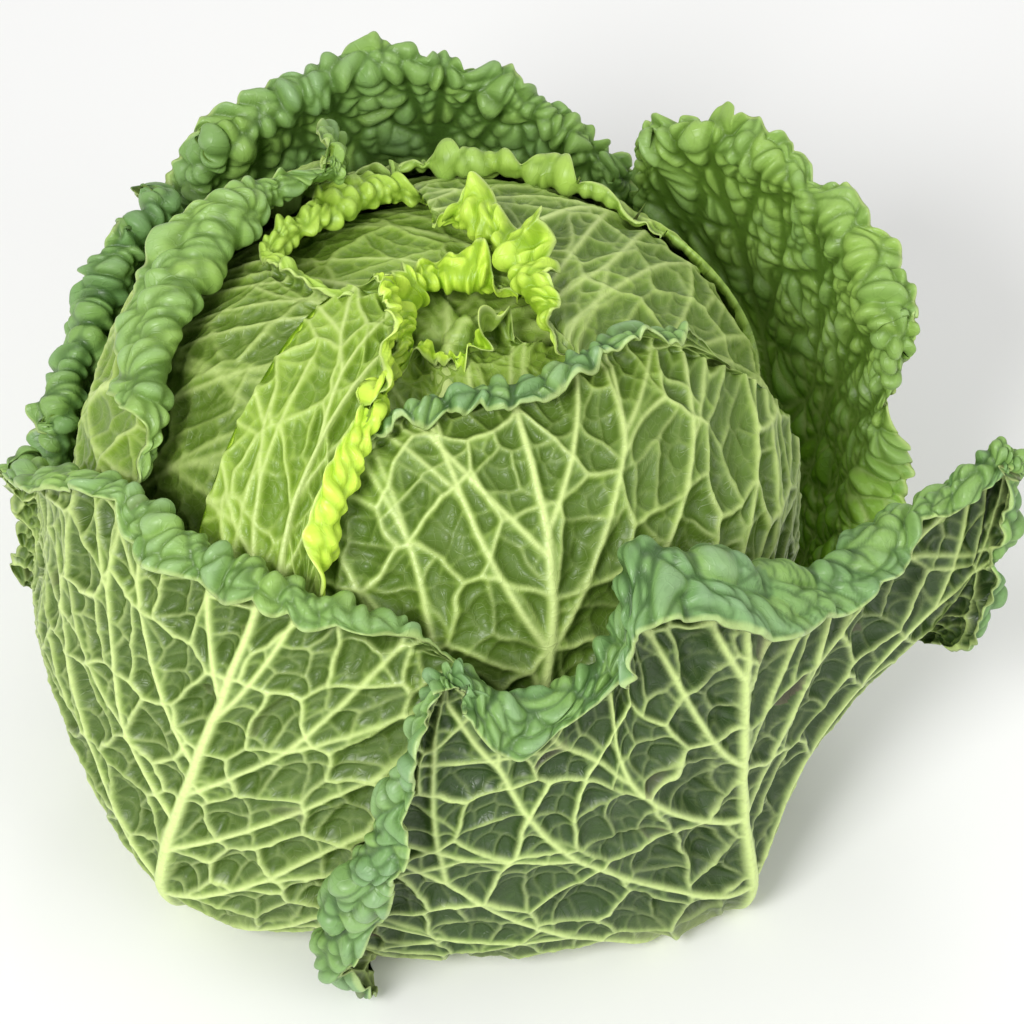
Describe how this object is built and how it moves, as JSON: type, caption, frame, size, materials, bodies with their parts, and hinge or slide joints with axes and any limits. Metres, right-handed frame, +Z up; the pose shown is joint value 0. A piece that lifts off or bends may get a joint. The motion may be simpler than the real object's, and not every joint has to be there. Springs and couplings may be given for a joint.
{
  "type": "savoy cabbage",
  "caption": "Whole savoy cabbage head with crinkled, veined wrapper leaves spreading round a closed heart, standing on its cut stem.",
  "frame": {"origin": "middle of the bounding box in plan, at the height of the stem's cut face, which rests on the table", "axes": "+Z up the stem through the head; +X to the right, along the widest spread of the outer leaves; -Y is the front"},
  "size_m": [0.2714, 0.2476, 0.1827],
  "materials": {
    "stem": "matte cut stalk",
    "leaf_inner": "waxy, tender leaf",
    "leaf_outer": "waxy, blistered leaf",
    "leaf_head": "waxy, veined leaf"
  },
  "bodies": {
    "root": {"stem": "stem", "heart": "leaf_inner", "leaf_outer_front_right": "leaf_outer", "leaf_outer_front_left": "leaf_outer", "leaf_outer_back": "leaf_outer", "leaf_outer_right": "leaf_outer", "leaf_outer_left": "leaf_outer", "leaf_head_left": "leaf_head", "leaf_head_front_left": "leaf_head", "leaf_head_front": "leaf_head", "leaf_head_back": "leaf_head", "leaf_head_upper_right": "leaf_head", "leaf_head_upper_left": "leaf_head", "leaf_inner_left": "leaf_inner", "leaf_inner_front": "leaf_inner"}
  },
  "joints": []
}
